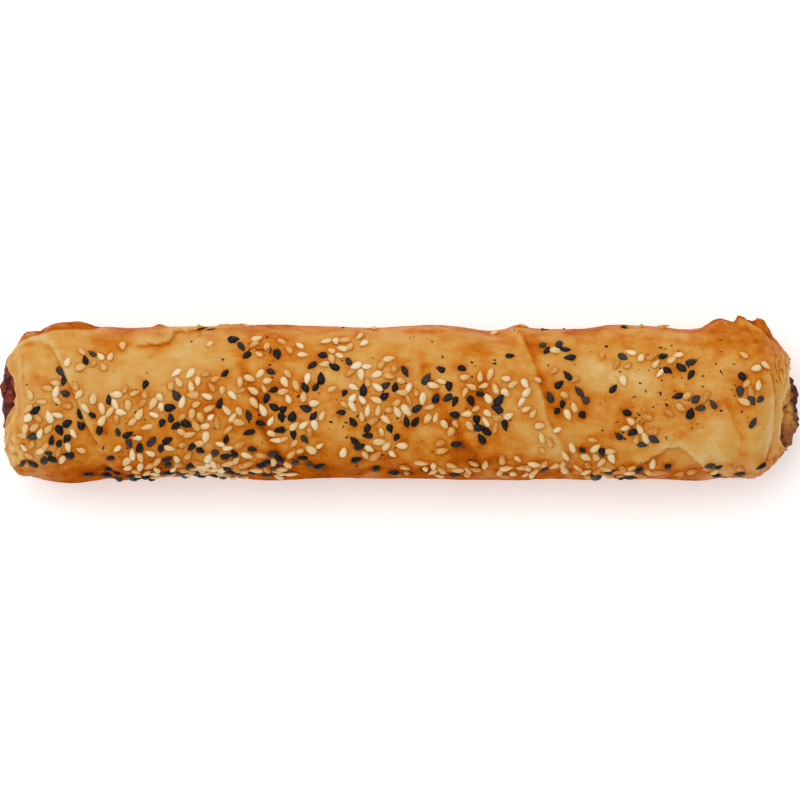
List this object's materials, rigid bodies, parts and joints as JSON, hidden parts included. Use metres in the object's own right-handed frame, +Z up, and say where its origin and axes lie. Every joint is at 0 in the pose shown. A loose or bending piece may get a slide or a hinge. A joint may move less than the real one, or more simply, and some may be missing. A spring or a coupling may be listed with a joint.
{
  "type": "borek",
  "caption": "Baked rolled borek: thin golden pastry sheets wound on the slant round a dark savoury filling that shows at both ends, sprinkled with pale and dark seeds.",
  "frame": {"origin": "middle of the flat underside that the roll rests on", "axes": "+X along the roll, from the plainer end to the crumpled end; +Y across it, towards the side with the loose flakes; +Z up"},
  "size_m": [0.2097, 0.0438, 0.0357],
  "materials": {
    "pastry": null,
    "filling": null
  },
  "bodies": {
    "root": {"pastry": "pastry", "filling": "filling"}
  },
  "joints": []
}
